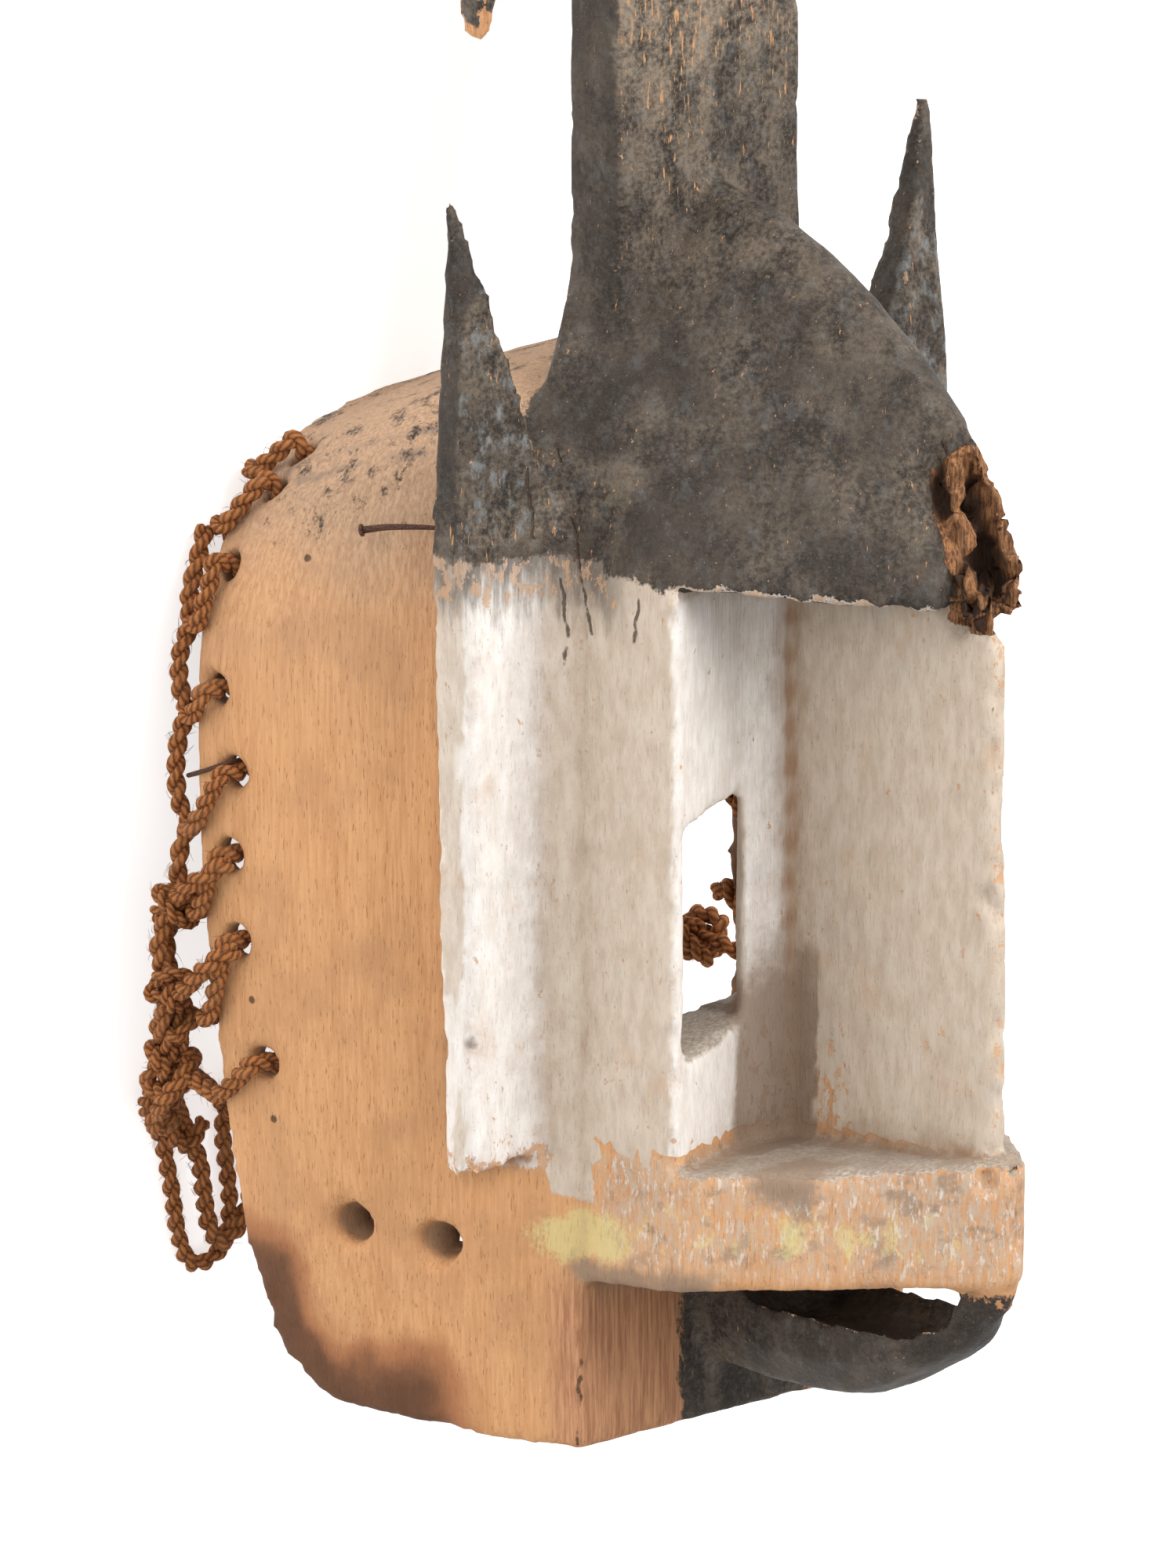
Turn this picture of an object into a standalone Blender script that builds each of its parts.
"""Kanaga mask of carved wood, lying on its back, face up. Metres, +Z up.

The mask is modelled in its own directions: X across the face, Y up the face from chin to crest
and Z forward out of the face. Z is 0 at the plane of the ears and Y is 0 at the underside of the
mouth ledge. The empty lying_pose then lays the whole mask on the floor.
"""

import math

import bmesh
import bpy
import numpy as np
from mathutils import Matrix, Vector

# Helmet: the open-backed shell behind the face
HEAD_HALF_WIDTH = 0.125
CHIN_HALF_WIDTH = 0.098
CHEEK_Y = 0.120  # the sides draw in below this height
FRONT_HALF_WIDTH = 0.074
WIDEST_Z = -0.085
RIM_Z = -0.0975
RIM_MIDDLE_Y = 0.165
CHIN_SWEEP = 0.0242  # how far forward the rim runs at the chin
CROWN_SWEEP = 0.006  # how far back it runs at the roof's crown
PANEL_Z = 0.026
CHIN_Y = -0.060
CHIN_REAR_Y = -0.055
JAWBONE_RADIUS = 0.033
ROOF_Y = 0.286
ROOF_REAR_Y = 0.260
ROOF_ARCH = 0.097
ROOF_SQUARENESS = 2.7
SIDE_WALL = 0.0085
CHIN_WALL = 0.0180  # the sides are thicker round the strap holes
CHIN_WALL_Y = 0.018  # full thickness from here down
CHIN_WALL_TOP_Y = 0.048
ROOF_WALL = 0.015
PANEL_WALL = 0.014
EYE_WALL_BACK_Z = 0.030

# Face: mouth ledge, recesses, nose board and brow
LEDGE_CORNER_Z = 0.064
LEDGE_CORNER_HALF = 0.070
FACE_TIP_Z = 0.1475
FACE_TIP_HALF = 0.007
LEDGE_THICK = 0.036
LEDGE_TIP_RISE = 0.007
BROW_Y = 0.226
BROW_TIP_DROP = 0.007
RIDGE_TOP_Y = 0.340
RECESS_WALL_Z = 0.052
NOSE_ROOT_WIDTH = 0.016
NOSE_EDGE_WIDTH = 0.008
NOSE_EDGE_Z = 0.1395
EYE_TOP_Y = 0.147
EYE_SILL_Y = 0.0725
EYE_INNER_X = 0.028
EYE_OUTER_WALL = 0.006

# Jaw, which curves forward and up to the ledge's tip
JAW_HALF_WIDTH = 0.024
JAW_DEPTH = 0.046
JAW_RIM_DROP = 0.015
JAW_HOLLOW = 0.009
MOUTH_FRONT_Z = 0.126

# Ribs that run up into the ears
EAR_X = 0.1066
EAR_TIP_Y = 0.347
EAR_BASE_Y = 0.236
EAR_TIP_SIZE = 0.0035
RIB_BOTTOM_Y = 0.032
RIB_FRONT_Z = 0.0125
RIB_REACH = 0.030
RIB_DEPTH = 0.017

# Post and its two crossbars
POST_WIDTH = 0.083
POST_TOP_WIDTH = 0.070
POST_THICK = 0.025
POST_FACE_Z = 0.011
POST_TOP_Y = 0.830
BAR_HALF_SPAN = 0.116
BAR_THICK = 0.012
BAR_HEIGHT = 0.040
LOWER_BAR_Y = 0.486
UPPER_BAR_Y = 0.715
FINGER_LENGTH = 0.063
FINGER_WIDTH = 0.027
FINGER_TIP_WIDTH = 0.005
THONG_RADIUS = 0.0024

# Lacing holes along the rear rim: height and distance from the rim, and the two in the roof's shoulder
RIM_HOLE_RADIUS = 0.0055
RIM_HOLES = (
    (0.2166, 0.0085),
    (0.1773, 0.0100),
    (0.1515, 0.0175),
    (0.1245, 0.0150),
    (0.0962, 0.0150),
    (0.0575, 0.0200),
)
ROOF_HOLES_ACROSS = (0.088, 0.101)
ROOF_HOLE_INSET = 0.0095
STRAP_HOLES = ((0.0082, -0.0420), (0.0051, -0.0154))
STRAP_HOLE_RADIUS = 0.0068

# Ropes, wire tie and nail
ROPE_RADIUS = 0.0026
ROPE_OUT = 0.0040  # the lacing's centreline from the outer surface
ROPE_IN = 0.0056  # and from the inner one, over the wire tie
LOOP_POINTS = (
    (0.0980, 0.0150),
    (0.0905, -0.0050),
    (0.0855, -0.0200),
    (0.0780, -0.0300),
    (0.0675, -0.0290),
    (0.0635, -0.0180),
    (0.0665, -0.0020),
    (0.0710, 0.0140),
    (0.0700, 0.0280),
    (0.0610, 0.0360),
    (0.0510, 0.0310),
    (0.0470, 0.0180),
    (0.0475, 0.0020),
    (0.0450, -0.0120),
)
KNOT_RADIUS = 0.0100
KNOT_PLACE = (0.1198, 0.048, -0.1135)
END_KNOT_RADIUS = 0.0058
WIRE_RADIUS = 0.0008
NAIL_RADIUS = 0.0011
NAIL_ROUTE = (
    (-0.1030, 0.2406, 0.0010),
    (-0.1090, 0.2406, -0.0110),
    (-0.1143, 0.2400, -0.0200),
    (-0.1180, 0.2385, -0.0270),
)

GAP = 0.0003
REACH = 0.040  # how far a cutter runs past what it cuts


def clear_scene():
    for obj in list(bpy.data.objects):
        bpy.data.objects.remove(obj, do_unlink=True)


def make_material(name, colour, roughness, metallic=0.0):
    material = bpy.data.materials.new(name)
    material.use_nodes = True
    shader = material.node_tree.nodes["Principled BSDF"]
    shader.inputs["Base Color"].default_value = (*colour, 1.0)
    shader.inputs["Roughness"].default_value = roughness
    shader.inputs["Metallic"].default_value = metallic
    return material


def make_object(name, mesh, pose, material=None):
    obj = bpy.data.objects.new(name, mesh)
    bpy.context.collection.objects.link(obj)
    obj.parent = pose
    if material:
        mesh.materials.append(material)
    return obj


def hide_form(obj):
    """A form that only adds to the head or cuts it."""
    obj.hide_render = True
    obj.display_type = "WIRE"
    return obj


def loft(name, rings, closed=False):
    """A closed skin through rings of equally many points. closed joins the last ring to the first."""
    bm = bmesh.new()
    rows = [[bm.verts.new(point) for point in ring] for ring in rings]
    count = len(rows[0])
    pairs = list(zip(rows, rows[1:]))
    if closed:
        pairs.append((rows[-1], rows[0]))
    for low, high in pairs:
        for i in range(count):
            j = (i + 1) % count
            bm.faces.new((low[i], low[j], high[j], high[i]))
    if not closed:
        bm.faces.new(reversed(rows[0]))
        bm.faces.new(rows[-1])
    bmesh.ops.recalc_face_normals(bm, faces=bm.faces)
    bmesh.ops.triangulate(bm, faces=bm.faces)
    mesh = bpy.data.meshes.new(name)
    bm.to_mesh(mesh)
    bm.free()
    return mesh


def mirrored(half):
    """A left half outline from back to front, followed by its mirror image from front to back."""
    return half + [(-x, z) for x, z in reversed(half) if abs(x) > 1e-6]


def blend(a, b, t):
    return a + (b - a) * t


def clamp01(t):
    return max(0.0, min(1.0, t))


def side_half_width(y, z, inset=0.0):
    """Half the helmet's width at a place: full near the rear, drawn in to the chin and to the face."""
    low = clamp01((CHEEK_Y - y) / (CHEEK_Y - CHIN_Y))
    chin = clamp01(-y / -CHIN_Y)
    full = blend(HEAD_HALF_WIDTH, CHIN_HALF_WIDTH, 0.45 * low + 0.55 * chin**1.2)
    if z < WIDEST_Z:
        behind = (WIDEST_Z - z) / (WIDEST_Z - RIM_Z)
        return full - 0.002 * behind**2 - inset
    if z < PANEL_Z:
        forward = clamp01((PANEL_Z - z) / (PANEL_Z - WIDEST_Z))
        return blend(FRONT_HALF_WIDTH, full, math.sin(forward * math.pi / 2)) - inset
    ahead = clamp01((z - PANEL_Z) / (LEDGE_CORNER_Z - PANEL_Z))
    return blend(FRONT_HALF_WIDTH, LEDGE_CORNER_HALF, ahead) - inset


def roof_y(z):
    """Height of the roof's crest: level behind the post's foot and sloping to the rear rim."""
    back = clamp01((-0.014 - z) / (-0.014 - RIM_Z))
    return blend(ROOF_Y, ROOF_REAR_Y, back**1.5)


def rim_z(y):
    """The rear rim in side view: forward towards the chin and a little back towards the crown."""
    if y > RIM_MIDDLE_Y:
        return RIM_Z - CROWN_SWEEP * ((y - RIM_MIDDLE_Y) / (ROOF_REAR_Y - RIM_MIDDLE_Y)) ** 3
    return RIM_Z + CHIN_SWEEP * ((y - RIM_MIDDLE_Y) / (RIM_MIDDLE_Y - CHIN_REAR_Y) * 1.043) ** 2


def chin_wall(y):
    """How much thicker than elsewhere the side is at a height."""
    down = clamp01((CHIN_WALL_TOP_Y - y) / (CHIN_WALL_TOP_Y - CHIN_WALL_Y))
    return (CHIN_WALL - SIDE_WALL) * down


def helmet_ring(z, inset, roof_inset, floor_y, steps):
    """One section of the helmet across the face: two sides and an arched roof."""
    spring_y = roof_y(z) - ROOF_ARCH
    points = []
    low = (floor_y, 0.0, CHIN_WALL_Y, CHIN_WALL_TOP_Y, CHEEK_Y)
    for y in low:
        thicker = chin_wall(y) if inset else 0.0
        points.append((-side_half_width(y, z, inset + thicker), y, z))
    rise = ROOF_ARCH - roof_inset
    width = side_half_width(spring_y, z, inset)
    for i in range(steps + 1):
        turn = math.pi * (1 - i / steps)
        across = math.copysign(abs(math.cos(turn)) ** (2 / ROOF_SQUARENESS), math.cos(turn))
        up = abs(math.sin(turn)) ** (2 / ROOF_SQUARENESS)
        points.append((across * width, spring_y + up * rise, z))
    points += [(-x, y, z) for x, y, z in reversed(points[: len(low)])]
    return points


def helmet_outside(pose):
    stations = np.linspace(RIM_Z - REACH / 2, PANEL_Z, 13)
    rings = [helmet_ring(z, 0.0, 0.0, CHIN_Y - REACH, 20) for z in stations]
    return make_object("head", loft("head", rings), pose)


def side_profile(pose):
    """The side view that trims the helmet: rear rim, round jawbone corner and chin edge."""
    low = CHIN_REAR_Y + JAWBONE_RADIUS
    outline = [(y, rim_z(y)) for y in np.linspace(ROOF_Y + REACH, low, 16)]
    centre_z = rim_z(low) + JAWBONE_RADIUS
    for turn in np.linspace(0, math.pi / 2, 6)[1:]:
        outline.append((low - JAWBONE_RADIUS * math.sin(turn), centre_z - JAWBONE_RADIUS * math.cos(turn)))
    outline += [(CHIN_Y, PANEL_Z - 0.02), (CHIN_Y, PANEL_Z + REACH), (ROOF_Y + REACH, PANEL_Z + REACH)]
    half = HEAD_HALF_WIDTH + REACH
    rings = [[(x, y, z) for y, z in outline] for x in (-half, half)]
    return hide_form(make_object("form_side_profile", loft("form_side_profile", rings), pose))


def ridge_share(y):
    """How much of the brow's forward reach is left at a height, 1 at its lower edge and 0 at its top."""
    rise = clamp01((y - BROW_Y) / (RIDGE_TOP_Y - BROW_Y))
    return (1 - rise**1.6) ** (1 / 1.5)


def face_outline(y):
    """Plan of the face at a height: the ledge's pointed front, shrinking up the brow to a point."""
    rise = clamp01((y - BROW_Y) / (RIDGE_TOP_Y - BROW_Y))
    share = ridge_share(y)
    post_half = POST_WIDTH / 2
    sunk_z = POST_FACE_Z - 0.003
    back_z = POST_FACE_Z - POST_THICK + 0.003
    back_half = blend(post_half - 0.003, FRONT_HALF_WIDTH - 0.004, share**3.5)
    side_z = blend(PANEL_Z - 0.003, back_z + 0.004, clamp01(2 * rise))
    side = (max(0.006, (FRONT_HALF_WIDTH - 0.0004) * (1 - rise**2.2)), side_z)
    corner_z = blend(sunk_z, LEDGE_CORNER_Z, (1 - rise) ** 2)
    corner = (max(0.005, LEDGE_CORNER_HALF * (1 - rise**1.6)), corner_z)
    tip = (blend(0.003, FACE_TIP_HALF, share), blend(sunk_z, FACE_TIP_Z - 0.004, share))
    nose = blend(sunk_z + 0.001, FACE_TIP_Z, share)
    bulge = 0.003 * (1 - share) * share * 4
    half = [(-back_half, back_z), (-side[0], side[1]), (-corner[0], corner[1])]
    for t in (0.33, 0.67):
        half.append((-blend(corner[0], tip[0], t) - bulge, blend(corner[1], tip[1], t) + bulge))
    half += [(-tip[0], tip[1]), (0.0, nose)]
    return mirrored(half)


def face_front(pose):
    """Ledge, cheeks and brow before the recesses are cut: one loft up the face."""
    rise = LEDGE_TIP_RISE / (FACE_TIP_Z - PANEL_Z)
    shares = (0, 0.08, 0.2, 0.33, 0.46, 0.6, 0.73, 0.85, 0.94, 1.0)
    levels = [blend(BROW_Y, RIDGE_TOP_Y, t) for t in shares]
    rings = [[(x, -0.005 + rise * max(0.0, z - PANEL_Z), z) for x, z in face_outline(BROW_Y)]]
    rings += [[(x, y, z) for x, z in face_outline(BROW_Y)] for y in (0.07, 0.15)]
    rings += [[(x, y, z) for x, z in face_outline(y)] for y in levels]
    return hide_form(make_object("form_face", loft("form_face", rings), pose))


def recess_cutter(pose):
    """The band between ledge and brow, leaving the eye walls and the nose board."""
    front = FACE_TIP_Z + REACH
    outside = FRONT_HALF_WIDTH + REACH
    half = [(-outside, LEDGE_CORNER_Z + 0.0004), (-LEDGE_CORNER_HALF - 0.0006, LEDGE_CORNER_Z + 0.0002)]
    half += [(-EYE_INNER_X, RECESS_WALL_Z), (-NOSE_ROOT_WIDTH / 2, RECESS_WALL_Z + 0.0015)]
    half += [(-NOSE_EDGE_WIDTH / 2, NOSE_EDGE_Z - 0.003), (-NOSE_EDGE_WIDTH / 2 + 0.0015, NOSE_EDGE_Z)]
    ahead = [(outside, front), (-outside, front)]
    outline = mirrored(half) + ahead

    def along(z):
        return clamp01((z - LEDGE_CORNER_Z) / (FACE_TIP_Z - LEDGE_CORNER_Z))

    floor = [(x, LEDGE_THICK + LEDGE_TIP_RISE * along(z), z) for x, z in outline]
    top = [(x, BROW_Y - BROW_TIP_DROP * along(z), z) for x, z in outline]
    return hide_form(make_object("form_recess", loft("form_recess", [floor, top]), pose))


def eye_cutter(pose, side):
    """Eye hole through the recess wall, flared towards the middle inside."""
    outer = LEDGE_CORNER_HALF - EYE_OUTER_WALL
    outline = [(-outer, LEDGE_CORNER_Z + 0.012), (-EYE_INNER_X, RECESS_WALL_Z + 0.004)]
    outline += [(-EYE_INNER_X + 0.001, RECESS_WALL_Z - 0.003), (-0.003, EYE_WALL_BACK_Z - 0.001)]
    outline += [(-0.003, EYE_WALL_BACK_Z - REACH / 2), (-outer + 0.002, EYE_WALL_BACK_Z - REACH / 2)]
    outline = [(side * -x, z) for x, z in outline]
    rings = []
    for y, slope in ((EYE_SILL_Y, 0.009), (EYE_TOP_Y, 0.008)):
        ring = []
        for x, z in outline:
            inward = clamp01((outer - abs(x)) / outer)
            ring.append((x, y + slope * inward, z))
        rings.append(ring)
    name = "form_eye_left" if side < 0 else "form_eye_right"
    return hide_form(make_object(name, loft(name, rings), pose))


def hollow_cutter(pose):
    """Inside of the helmet, open at the back and below."""
    stations = np.linspace(RIM_Z - REACH, PANEL_Z - PANEL_WALL, 9)
    rings = [helmet_ring(z, SIDE_WALL, ROOF_WALL, CHIN_Y - 1.5 * REACH, 12) for z in stations]
    return hide_form(make_object("form_hollow", loft("form_hollow", rings), pose))


def face_hollow_cutter(pose):
    """The hollow reaches further forward behind the eyes, down to the ledge."""
    half = LEDGE_CORNER_HALF - EYE_OUTER_WALL - 0.002
    low = LEDGE_THICK - 0.022
    high = BROW_Y - 0.004
    outline = [(-half - 0.006, -0.02), (-half, EYE_WALL_BACK_Z - 0.004), (-half + 0.008, EYE_WALL_BACK_Z)]
    outline = mirrored(outline)
    rings = [[(x, y, z) for x, z in outline] for y in (low, low + 0.01, high)]
    rings[0] = [(x, y, min(z, EYE_WALL_BACK_Z - 0.008)) for x, y, z in rings[0]]
    return hide_form(make_object("form_face_hollow", loft("form_face_hollow", rings), pose))


def rib_and_ear(pose, side):
    """A rib on the helmet's side that runs up into a pointed ear. Its ridge line faces out and forward."""
    rings = []
    base_rise = EAR_TIP_Y - EAR_BASE_Y
    levels = [RIB_BOTTOM_Y, 0.09, 0.16, EAR_BASE_Y]
    levels += [EAR_BASE_Y + base_rise * t for t in (0.25, 0.5, 0.75, 0.93, 1.0)]
    for y in levels:
        up = clamp01((y - EAR_BASE_Y) / base_rise)
        keep = 1 - up**1.1
        low = clamp01((EAR_BASE_Y - y) / (EAR_BASE_Y - RIB_BOTTOM_Y))
        reach = EAR_TIP_SIZE + (RIB_REACH + 0.004 - EAR_TIP_SIZE) * keep
        depth = EAR_TIP_SIZE + (RIB_DEPTH - EAR_TIP_SIZE) * keep
        front = blend(0.5 * EAR_TIP_SIZE, RIB_FRONT_Z, keep**0.8)
        outer = EAR_X + 0.001
        section = [
            (outer + 0.003 * (1 - low) * keep, front - depth * (1 - 0.2 * low)),
            (outer + 0.001, front - 0.35 * depth),
            (outer, front),
            (outer - 0.5 * reach, front + 0.0005 * keep),
            (outer - reach, front + 0.0045 * keep),
            (outer - reach, front - depth - 0.006 * keep),
        ]
        drop = [0.0, 0.0, 0.0, 0.003, 0.007, 0.007] if y == RIB_BOTTOM_Y else [0.0] * 6
        rings.append([(side * x, y + d, z) for (x, z), d in zip(section, drop)])
    name = "form_ear_left" if side < 0 else "form_ear_right"
    return hide_form(make_object(name, loft(name, rings), pose))


def jaw_form(pose):
    """Lower jaw: a scoop that starts in the front panel and curves up into the ledge's tip."""
    rings = []
    start = PANEL_Z - PANEL_WALL / 2
    end = FACE_TIP_Z - 0.004
    for t in (0, 0.12, 0.26, 0.4, 0.54, 0.67, 0.78, 0.87, 0.94, 1.0):
        z = blend(start, end, t)
        lift = clamp01((t - 0.42) / 0.58)
        bottom = -JAW_DEPTH + 0.86 * JAW_DEPTH * lift**1.9
        taper = (FACE_TIP_Z - z) * LEDGE_CORNER_HALF / (FACE_TIP_Z - LEDGE_CORNER_Z)
        half = min(JAW_HALF_WIDTH, max(0.006, 0.85 * taper))
        close = clamp01((z - MOUTH_FRONT_Z) / 0.008)
        opening = clamp01((z - PANEL_Z) / 0.02)
        rim = blend(0.006, blend(-JAW_RIM_DROP, 0.012, close), opening)
        middle = rim - JAW_HOLLOW * (1 - close) * opening
        bottom = min(bottom, rim - 0.012)
        rings.append(
            [
                (-half, rim, z),
                (-0.55 * half, blend(rim, middle, 0.8), z),
                (0.0, middle, z),
                (0.55 * half, blend(rim, middle, 0.8), z),
                (half, rim, z),
                (0.96 * half, blend(rim, bottom, 0.5), z),
                (0.62 * half, blend(rim, bottom, 0.9), z),
                (0.0, bottom, z),
                (-0.62 * half, blend(rim, bottom, 0.9), z),
                (-0.96 * half, blend(rim, bottom, 0.5), z),
            ]
        )
    return hide_form(make_object("form_jaw", loft("form_jaw", rings), pose))


def post_form(pose):
    """Flat post, slightly wavy as cut by hand, narrowing to its top."""
    rings = []
    foot = ROOF_REAR_Y - 0.012
    for i, y in enumerate(np.linspace(foot, POST_TOP_Y, 15)):
        up = clamp01((y - RIDGE_TOP_Y) / (POST_TOP_Y - RIDGE_TOP_Y))
        half = blend(POST_WIDTH, POST_TOP_WIDTH, up) / 2 + 0.0007 * math.sin(2.4 * i)
        front = POST_FACE_Z - 0.001 * up
        back = POST_FACE_Z - POST_THICK
        crown = 0.0012
        rings.append(
            [
                (-half, y, back + 0.002),
                (-half + 0.003, y, back),
                (half - 0.003, y, back),
                (half, y, back + 0.002),
                (half + 0.0008 * math.sin(1.7 * i), y, front - 0.002),
                (half - 0.0025, y, front),
                (0.0, y, front + crown * (1 - up)),
                (-half + 0.0025, y, front),
                (-half - 0.0008 * math.sin(1.7 * i), y, front - 0.002),
            ]
        )
    return hide_form(make_object("form_post", loft("form_post", rings), pose))


def worm_break(pose):
    """Hollow eaten into the brow's tip, rough all round."""
    rng = np.random.default_rng(7)
    rings = []
    for t in np.linspace(0, 1, 7):
        y = blend(BROW_Y - 0.018, BROW_Y + 0.052, t)
        tip = blend(POST_FACE_Z, FACE_TIP_Z, ridge_share(max(y, BROW_Y)))
        size = 0.014 * math.sin(math.pi * (0.12 + 0.76 * t)) ** 0.5
        ring = []
        for turn in np.linspace(0, 2 * math.pi, 9)[:-1]:
            r = size * (1 + 0.35 * rng.standard_normal() * 0.6)
            up = y + 0.003 * rng.standard_normal()
            ring.append((-0.004 + 0.8 * r * math.cos(turn), up, tip + 0.004 + r * math.sin(turn)))
        rings.append(ring)
    return hide_form(make_object("form_worm_break", loft("form_worm_break", rings), pose))


def rod(name, pose, centre, direction, radius, length, sides):
    """A straight round rod or drill, centred on a point."""
    bm = bmesh.new()
    turn = Vector((0, 0, 1)).rotation_difference(Vector(direction)).to_matrix().to_4x4()
    bmesh.ops.create_cone(
        bm,
        cap_ends=True,
        segments=sides,
        radius1=radius,
        radius2=radius,
        depth=length,
        matrix=Matrix.Translation(centre) @ turn,
    )
    mesh = bpy.data.meshes.new(name)
    bm.to_mesh(mesh)
    bm.free()
    return make_object(name, mesh, pose)


def shell_place(turn, z, side, out, across=0.0):
    """A point of the helmet at a depth.

    turn below 0 is metres down the side from the arch's foot, and above 0 it is the arch's angle.
    out is metres out from the outer surface, or in from the inner one where it is negative.
    across is how far through the wall the point lies, from 0 outside to 1 inside.
    """
    spring_y = roof_y(z) - ROOF_ARCH
    if turn < 0:
        width = side_half_width(spring_y + turn, z)
        deep = SIDE_WALL if out < 0 else SIDE_WALL * across
        return Vector((side * (width + out - deep), spring_y + turn, z))
    power = 2 / ROOF_SQUARENESS
    width = side_half_width(spring_y, z)
    run, rise = math.cos(turn) ** power, math.sin(turn) ** power
    normal = Vector((run ** (ROOF_SQUARENESS - 1) / width, rise ** (ROOF_SQUARENESS - 1) / ROOF_ARCH, 0))
    normal.normalize()
    wall = normal.x * SIDE_WALL * run + normal.y * ROOF_WALL * rise
    deep = wall if out < 0 else wall * across
    place = Vector((width * run, spring_y + ROOF_ARCH * rise, z)) + normal * (out - deep)
    return Vector((side * place.x, place.y, z))


def side_turn(y, z):
    """The turn of shell_place at a height."""
    above = y - roof_y(z) + ROOF_ARCH
    if above < 0:
        return above
    return math.asin((above / ROOF_ARCH) ** (ROOF_SQUARENESS / 2))


def lacing_holes():
    """Turn and depth of every lacing hole down one side, from the roof's shoulder to the lowest."""
    holes = []
    for across in ROOF_HOLES_ACROSS:
        z = RIM_Z + ROOF_HOLE_INSET + 0.003
        holes.append((math.acos((across / HEAD_HALF_WIDTH) ** (ROOF_SQUARENESS / 2)), z))
    for y, inset in RIM_HOLES:
        z = rim_z(y) + inset
        holes.append((side_turn(y, z), z))
    return holes


def drill_holes(pose):
    drills = []
    for side in (-1, 1):
        for i, (turn, z) in enumerate(lacing_holes()):
            centre = shell_place(turn, z, side, 0.0, 0.5)
            direction = shell_place(turn, z, side, SIDE_WALL) - centre
            name = f"form_rim_hole_{i}_{side}"
            drills.append(rod(name, pose, centre, direction, RIM_HOLE_RADIUS, 4 * SIDE_WALL, 12))
        for i, (y, z) in enumerate(STRAP_HOLES):
            centre = (side * side_half_width(y, z, SIDE_WALL / 2), y, z)
            name = f"form_strap_hole_{i}_{side}"
            direction = (1, 0, side * -0.1)
            drills.append(rod(name, pose, centre, direction, STRAP_HOLE_RADIUS, 4 * CHIN_WALL, 14))
    start, bend = (Vector(point) for point in NAIL_ROUTE[:2])
    way = bend - start
    drills.append(rod("form_nail_hole", pose, start, way, NAIL_RADIUS + GAP, 2 * way.length, 10))
    return [hide_form(drill) for drill in drills]


def combine(head, operation, forms):
    for form in forms:
        modifier = head.modifiers.new(form.name, "BOOLEAN")
        modifier.operation = operation
        modifier.solver = "EXACT"
        modifier.object = form


def make_head(pose, wood):
    head = helmet_outside(pose)
    head.data.materials.append(wood)
    combine(head, "INTERSECT", [side_profile(pose)])
    added = [face_front(pose), post_form(pose)]
    combine(head, "UNION", added + [rib_and_ear(pose, side) for side in (-1, 1)])
    combine(head, "DIFFERENCE", [recess_cutter(pose), hollow_cutter(pose), face_hollow_cutter(pose)])
    combine(head, "DIFFERENCE", [eye_cutter(pose, side) for side in (-1, 1)])
    combine(head, "UNION", [jaw_form(pose)])
    combine(head, "DIFFERENCE", [worm_break(pose)] + drill_holes(pose))
    return head


def bar_outline(middle_y, turned):
    """Crossbar with a pointed finger at each end, turned down (-1) or up (1)."""
    edge = middle_y + turned * BAR_HEIGHT / 2
    other = middle_y - turned * BAR_HEIGHT / 2
    tip = edge + turned * FINGER_LENGTH
    inner = BAR_HALF_SPAN - FINGER_WIDTH
    half = [
        (-BAR_HALF_SPAN + 0.004, other),
        (-BAR_HALF_SPAN, other + turned * 0.004),
        (-BAR_HALF_SPAN, edge + turned * 0.6 * FINGER_LENGTH),
        (-BAR_HALF_SPAN + 0.001, tip - turned * 0.002),
        (-BAR_HALF_SPAN + 0.5 * FINGER_TIP_WIDTH, tip),
        (-BAR_HALF_SPAN + FINGER_TIP_WIDTH, tip - turned * 0.003),
        (-inner - 0.002, edge + turned * 0.010),
        (-inner + 0.005, edge),
    ]
    return half + [(-x, y) for x, y in reversed(half)]


def make_bar(name, pose, middle_y, turned, wood):
    back = POST_FACE_Z + 0.0012 + GAP
    outline = bar_outline(middle_y, turned)
    rings = [[(x, y, z) for x, y in outline] for z in (back, back + BAR_THICK)]
    bar = make_object(name, loft(name, rings), pose, wood)
    bevel = bar.modifiers.new("worn edges", "BEVEL")
    bevel.width = 0.0016
    bevel.segments = 1
    bevel.limit_method = "ANGLE"
    bevel.angle_limit = math.radians(50)
    return bar


def tube_rings(points, radius, sides):
    """Rings of a closed loop of cord, square to its run."""
    count = len(points)
    rings = []
    for i in range(count):
        along = (points[(i + 1) % count] - points[i - 1]).normalized()
        out = Vector((0, 1, 0)) - along * along.y
        out.normalize()
        side = along.cross(out)
        turns = [2 * math.pi * k / sides for k in range(sides)]
        rings.append([points[i] + radius * (out * math.cos(a) + side * math.sin(a)) for a in turns])
    return rings


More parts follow.
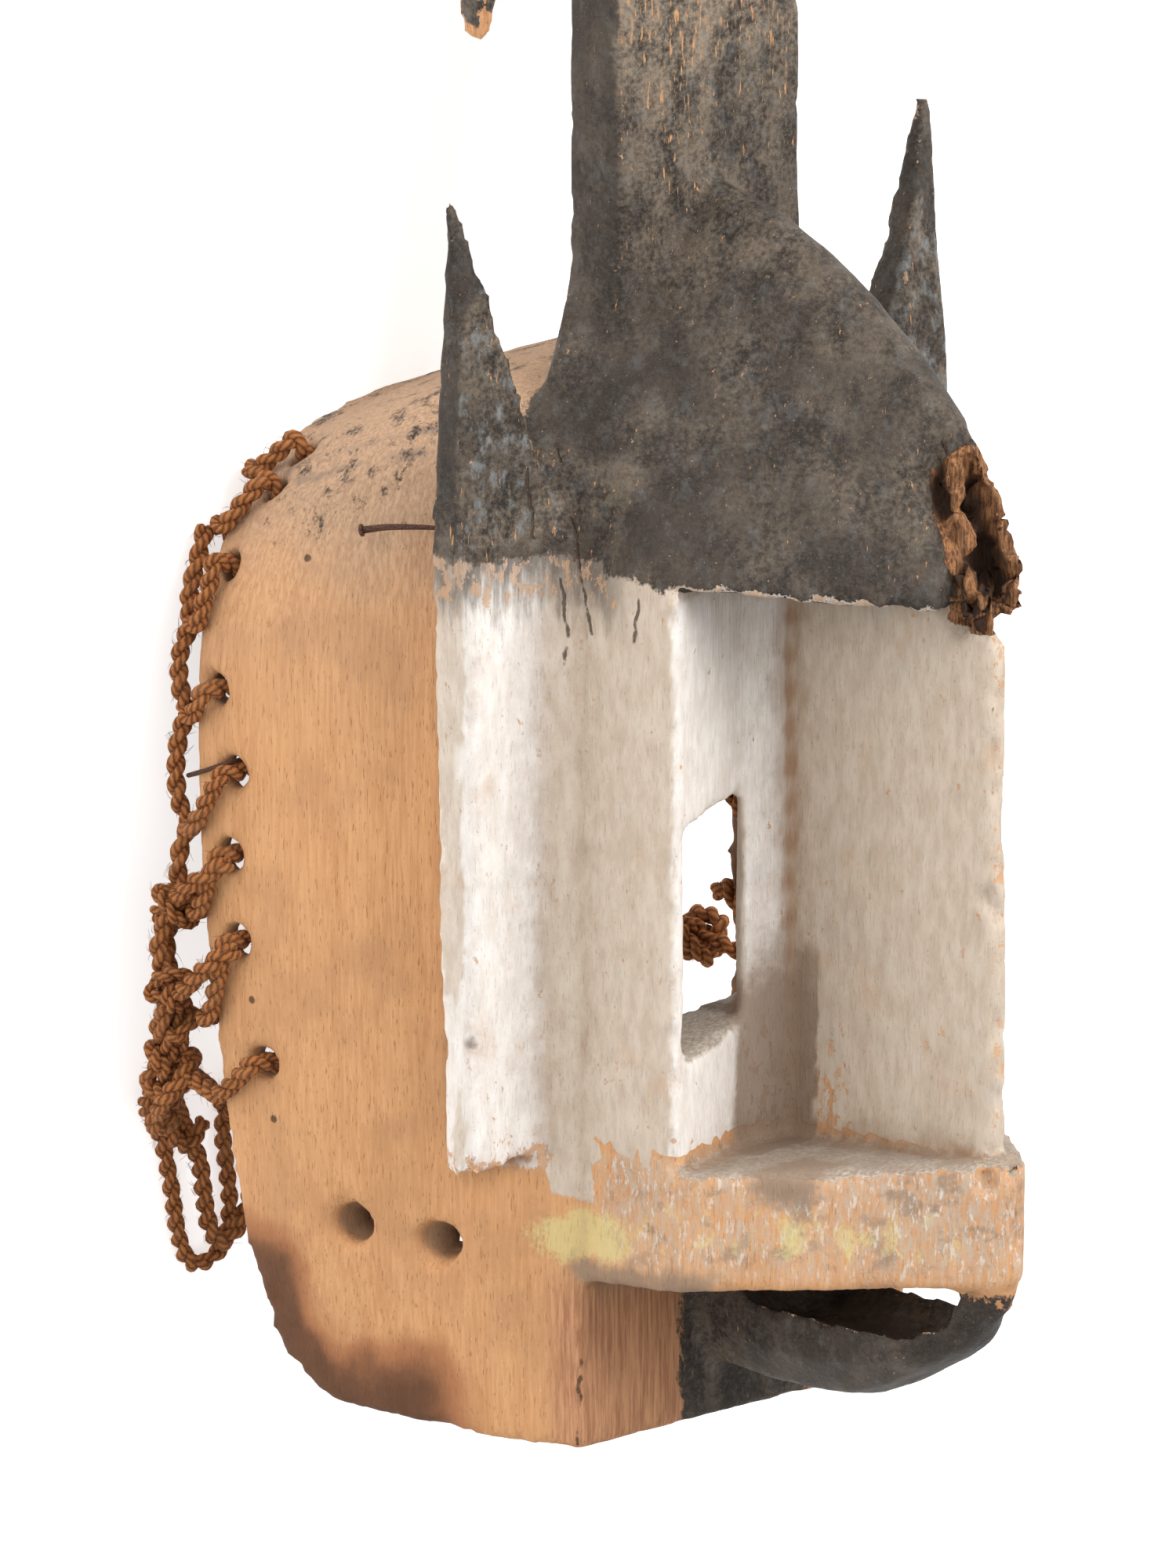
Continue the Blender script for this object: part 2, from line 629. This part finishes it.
def thong_loop(middle_y, slant):
    """One slanting turn of thong: behind the post, round its edges and across the front of the bar."""
    up = clamp01((middle_y - RIDGE_TOP_Y) / (POST_TOP_Y - RIDGE_TOP_Y))
    clear = THONG_RADIUS + 2 * GAP
    half = blend(POST_WIDTH, POST_TOP_WIDTH, up) / 2 + clear + 0.002
    back = POST_FACE_Z - POST_THICK - clear
    post_front = POST_FACE_Z + clear + 0.001
    front = POST_FACE_Z + 0.0012 + GAP + BAR_THICK + clear
    high = BAR_HEIGHT / 2 + clear + 0.0015
    rows = [
        (-half + 0.004, 1.12 * high, back),
        (-half, 1.14 * high, back + 0.004),
        (-half, 1.22 * high, post_front - 0.004),
        (-0.80 * half, 1.10 * high, front - 0.006),
        (-0.68 * half, 0.97 * high, front),
        (0.68 * half, -0.97 * high, front),
        (0.80 * half, -1.10 * high, front - 0.006),
        (half, -1.22 * high, post_front - 0.004),
        (half, -1.14 * high, back + 0.004),
        (half - 0.004, -1.12 * high, back),
    ]
    return [Vector((x, middle_y + slant * y, z)) for x, y, z in rows]


def thong_turn(name, middle_y, slant):
    return loft(name, tube_rings(thong_loop(middle_y, slant), THONG_RADIUS, 8), True)


def make_lashing(name, pose, middle_y, leather):
    """Two turns of thong that cross in front of the bar and behind the post."""
    first = make_object(name, thong_turn(name, middle_y, 1), pose, leather)
    form = f"form_{name}"
    second = make_object(form, thong_turn(form, middle_y, -1), pose)
    combine(first, "UNION", [hide_form(second)])
    return first


def smooth_route(points, step):
    """Points about one step apart on a smooth curve through the given ones."""
    route = []
    count = len(points)
    for i in range(count - 1):
        before, start, end, after = (points[max(0, min(count - 1, i + k))] for k in (-1, 0, 1, 2))
        pieces = max(1, round((end - start).length / step))
        for k in range(pieces):
            t = k / pieces
            route.append(
                0.5
                * (
                    2 * start
                    + (end - before) * t
                    + (2 * before - 5 * start + 4 * end - after) * t**2
                    + (3 * start - before - 3 * end + after) * t**3
                )
            )
    return route + [points[-1]]


def make_cord(name, pose, route, radius, material, closed=False):
    """A round cord, wire or nail along a route."""
    curve = bpy.data.curves.new(name, "CURVE")
    curve.dimensions = "3D"
    curve.bevel_depth = radius
    curve.bevel_resolution = 2
    curve.use_fill_caps = not closed
    spline = curve.splines.new("POLY")
    spline.points.add(len(route) - 1)
    for point, place in zip(spline.points, route):
        point.co = (*place, 1.0)
    spline.use_cyclic_u = closed
    return make_object(name, curve, pose, material)


def over_rim(turn, side):
    """The rope's way from the outside over the rim to the inside."""
    y = shell_place(turn, RIM_Z, side, 0.0).y
    rim = rim_z(y)
    return [
        shell_place(turn, rim + 0.0035, side, ROPE_OUT),
        shell_place(turn, rim - ROPE_RADIUS, side, 0.9 * ROPE_RADIUS),
        shell_place(turn, rim - ROPE_RADIUS - 2 * GAP, side, 0.0, 0.5),
        shell_place(turn, rim - ROPE_RADIUS, side, -0.9 * ROPE_RADIUS),
        shell_place(turn, rim + 0.0035, side, -ROPE_IN),
    ]


def lacing_route(side):
    """Out through each hole, back over the rim and along inside to the next, then down to the knot."""
    holes = lacing_holes()
    points = []
    for i, (turn, z) in enumerate(holes):
        points.append(shell_place(turn, z, side, -ROPE_IN))
        points.append(shell_place(turn, z, side, 0.0, 0.5))
        points.append(shell_place(turn, z, side, ROPE_OUT))
        if i + 1 < len(holes):
            points += over_rim(blend(turn, holes[i + 1][0], 0.5), side)
    knot = knot_place(side)
    points.append(shell_place(holes[-1][0] - 0.006, knot.z + 0.026, side, ROPE_OUT))
    points.append(knot + Vector((0, 0.0005, KNOT_RADIUS + 3 * GAP)))
    return smooth_route(points, 3 * ROPE_RADIUS)


def wire_route(side):
    """A closed turn of wire through the third side hole and round the rim."""
    turn, z = lacing_holes()[4]
    turn += 0.0036
    rim = rim_z(shell_place(turn, z, side, 0.0).y)
    near = WIRE_RADIUS + 4 * GAP
    return [
        shell_place(turn, z, side, 0.0, 0.5),
        shell_place(turn, z, side, near),
        shell_place(turn, blend(z, rim, 0.5), side, near),
        shell_place(turn, rim - near, side, near),
        shell_place(turn, rim - near, side, -near),
        shell_place(turn, blend(z, rim, 0.5), side, -near),
        shell_place(turn, z, side, -near),
    ]


def knot_place(side):
    x, y, z = KNOT_PLACE
    return Vector((side * x, y, z))


def floor_line():
    """The crown of the rear rim, and how much the floor falls away for each metre up the face."""
    crown_y = roof_y(RIM_Z)
    crown_z = rim_z(crown_y)
    return crown_y, crown_z, (POST_FACE_Z - POST_THICK - crown_z) / (POST_TOP_Y - crown_y)


def on_floor(x, y, above):
    """A point a little above the floor that the mask lies on."""
    crown_y, crown_z, slope = floor_line()
    return Vector((x, y, crown_z + slope * (y - crown_y) + above))


def loops_route(side):
    """The rope's free end: from the knot down to the floor, and there in loose loops under the rim."""
    knot = knot_place(side)
    lies = ROPE_RADIUS * 1.02 + GAP
    start = knot + Vector((side * -0.0034, -0.0060, -0.0075)).normalized() * (KNOT_RADIUS + 3 * GAP)
    points = [start]
    points.append(on_floor(side * 0.1110, 0.0310, lies + 0.0035))
    for x, y in LOOP_POINTS:
        points.append(on_floor(side * x, y, lies))
    return smooth_route(points, 4.5 * ROPE_RADIUS)


def make_knot(name, pose, centre, radius, material):
    """The lump of a knot, a little longer than wide."""
    bm = bmesh.new()
    bmesh.ops.create_icosphere(bm, subdivisions=2, radius=radius)
    mesh = bpy.data.meshes.new(name)
    bm.to_mesh(mesh)
    bm.free()
    mesh.shade_smooth()
    obj = make_object(name, mesh, pose, material)
    obj.location = centre
    return obj


def make_ropes(pose, fibre, iron):
    for word, side in (("left", -1), ("right", 1)):
        make_cord(f"{word}_lacing", pose, lacing_route(side), ROPE_RADIUS, fibre)
        make_knot(f"{word}_knot", pose, knot_place(side), KNOT_RADIUS, fibre)
        loops = loops_route(side)
        make_cord(f"{word}_loops", pose, loops, ROPE_RADIUS, fibre)
        onward = (loops[-1] - loops[-2]).normalized()
        end = loops[-1] + onward * (END_KNOT_RADIUS + 3 * GAP)
        end.z = on_floor(end.x, end.y, END_KNOT_RADIUS * 1.02 + GAP).z
        make_knot(f"{word}_end_knot", pose, end, END_KNOT_RADIUS, fibre)
    make_cord("wire_tie", pose, wire_route(-1), WIRE_RADIUS, iron, closed=True)


def make_nail(pose, metal):
    return make_cord("nail", pose, [Vector(point) for point in NAIL_ROUTE], NAIL_RADIUS, metal)


def rest_on_floor(pose):
    """Lays the mask on the rim's crown and the post's back edge, with the origin under its middle."""
    pose.rotation_euler = (-math.atan(floor_line()[2]), 0, 0)
    bpy.context.view_layer.update()
    depsgraph = bpy.context.evaluated_depsgraph_get()
    low = Vector((math.inf,) * 3)
    high = -low
    for obj in bpy.data.objects:
        if obj.type != "MESH" or obj.hide_render:
            continue
        evaluated = obj.evaluated_get(depsgraph)
        for vertex in evaluated.data.vertices:
            place = obj.matrix_world @ vertex.co
            low = Vector(map(min, low, place))
            high = Vector(map(max, high, place))
    pose.location = (-(low.x + high.x) / 2, -(low.y + high.y) / 2, -low.z)


def main():
    clear_scene()
    pose = bpy.data.objects.new("lying_pose", None)
    bpy.context.collection.objects.link(pose)
    carved = make_material("carved wood", (0.42, 0.25, 0.13), 0.75)
    blackened = make_material("blackened wood", (0.07, 0.06, 0.05), 0.8)
    leather = make_material("thong leather", (0.16, 0.09, 0.05), 0.7)
    fibre = make_material("twisted fibre", (0.38, 0.17, 0.07), 0.9)
    iron = make_material("dark iron", (0.05, 0.04, 0.035), 0.55, 0.8)
    make_head(pose, carved)
    make_bar("lower_crossbar", pose, LOWER_BAR_Y, -1, blackened)
    make_bar("upper_crossbar", pose, UPPER_BAR_Y, 1, blackened)
    make_lashing("lower_lashing", pose, LOWER_BAR_Y, leather)
    make_lashing("upper_lashing", pose, UPPER_BAR_Y, leather)
    make_nail(pose, iron)
    make_ropes(pose, fibre, iron)
    rest_on_floor(pose)


main()
